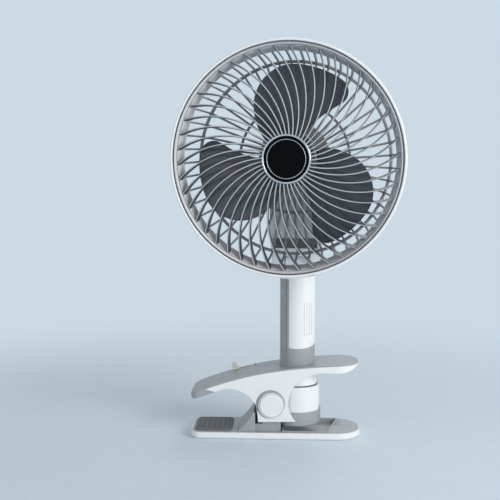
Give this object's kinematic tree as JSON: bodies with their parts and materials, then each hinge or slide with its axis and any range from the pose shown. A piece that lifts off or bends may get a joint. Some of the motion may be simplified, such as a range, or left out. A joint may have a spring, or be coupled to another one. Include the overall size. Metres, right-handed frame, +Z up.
{
  "type": "clip fan",
  "caption": "Caged battery fan on a tilting, swivelling neck above an upright post, carried by a sprung table clamp.",
  "frame": {"origin": "point of the clamp base's underside below the post's axis", "axes": "+Z up along the post; +X from the jaws towards the squeeze handles; -Y to the side that the fan blows to"},
  "size_m": [0.2118, 0.1316, 0.3784],
  "materials": {
    "white_plastic": "fine satin moulding",
    "grey_plastic": "satin moulding",
    "silver_plastic": "satin silver-grey moulding",
    "dark_plastic": "semi-gloss dark grey",
    "black_gloss": "gloss black",
    "ivory_plastic": "satin ivory",
    "black_plastic": "matt black",
    "rubber": "matt dark rubber",
    "silver_metal": "bright satin",
    "steel": "plain steel",
    "brass": "sintered bronze",
    "magnet": "dull grey ferrite",
    "copper": "enamelled windings on an iron core",
    "cell_wrap": "shrink sleeve",
    "board_green": "solder mask"
  },
  "bodies": {
    "clamp_base": {"base_shell": "white_plastic", "base_cover": "grey_plastic", "base_feet": "rubber", "base_screws": "steel", "base_grip_pad": "rubber"},
    "clamp_jaw": {"jaw_shell": "white_plastic", "jaw_cover": "grey_plastic", "jaw_grip_pad": "rubber", "pivot_pin": "steel", "pivot_cap_front": "white_plastic", "pivot_cap_rear": "white_plastic", "pivot_collar_front": "grey_plastic", "pivot_collar_rear": "grey_plastic", "torsion_spring_front": "steel", "torsion_spring_rear": "steel", "speed_switch": "black_plastic", "post_body": "grey_plastic", "post_panel": "white_plastic", "post_cap": "white_plastic", "post_screws": "steel", "cell_holder": "black_plastic", "battery_cell": "cell_wrap", "barrel_washer": "black_plastic", "barrel_sleeve": "white_plastic", "barrel_cap": "grey_plastic", "control_board": "board_green", "charging_socket": "steel"},
    "speed_slider": {"slider_knob": "ivory_plastic"},
    "neck": {"neck_knuckle": "white_plastic", "swivel_retainer": "steel", "tilt_washers": "black_plastic"},
    "head": {"tilt_pin": "steel", "tilt_caps": "white_plastic", "neck_arm": "white_plastic", "arm_cover": "white_plastic", "rim_trim": "white_plastic", "front_grille": "silver_plastic", "hub_ring": "silver_metal", "hub_disc": "black_gloss", "hub_line": "silver_metal", "rear_grille": "silver_plastic", "grille_screws": "steel", "motor_can": "steel", "motor_magnets": "magnet", "motor_bushes": "brass", "motor_screws": "steel"},
    "rotor": {"motor_armature": "copper", "motor_shaft": "steel", "fan_blade": "dark_plastic", "blade_nut": "black_plastic"}
  },
  "joints": [
    {"name": "jaw_hinge", "type": "hinge", "parent": "clamp_base", "child": "clamp_jaw", "pos_m": [-0.0249, 0, 0.0332], "axis": [0, -1, 0], "range_deg": [-10, 22], "stiffness_Nm_per_rad": 5, "springref_deg": 1.32, "deforming": ["torsion_spring_front", "torsion_spring_rear"]},
    {"name": "speed_slide", "type": "slide", "parent": "clamp_jaw", "child": "speed_slider", "axis": [0.9659, 0, 0.2588], "range_m": [0, 0.015]},
    {"name": "neck_swivel", "type": "hinge", "parent": "clamp_jaw", "child": "neck", "pos_m": [0, 0, 0.158], "axis": [0, 0, 1], "range_deg": [-180, 180]},
    {"name": "head_tilt", "type": "hinge", "parent": "neck", "child": "head", "pos_m": [0, 0, 0.1686], "axis": [-0.9932, 0.1167, 0], "range_deg": [-35, 80]},
    {"name": "rotor_spin", "type": "hinge", "parent": "head", "child": "rotor", "pos_m": [-0.01062, -0.09038, 0.2727], "axis": [-0.1167, -0.9932, 0], "continuous": true}
  ]
}
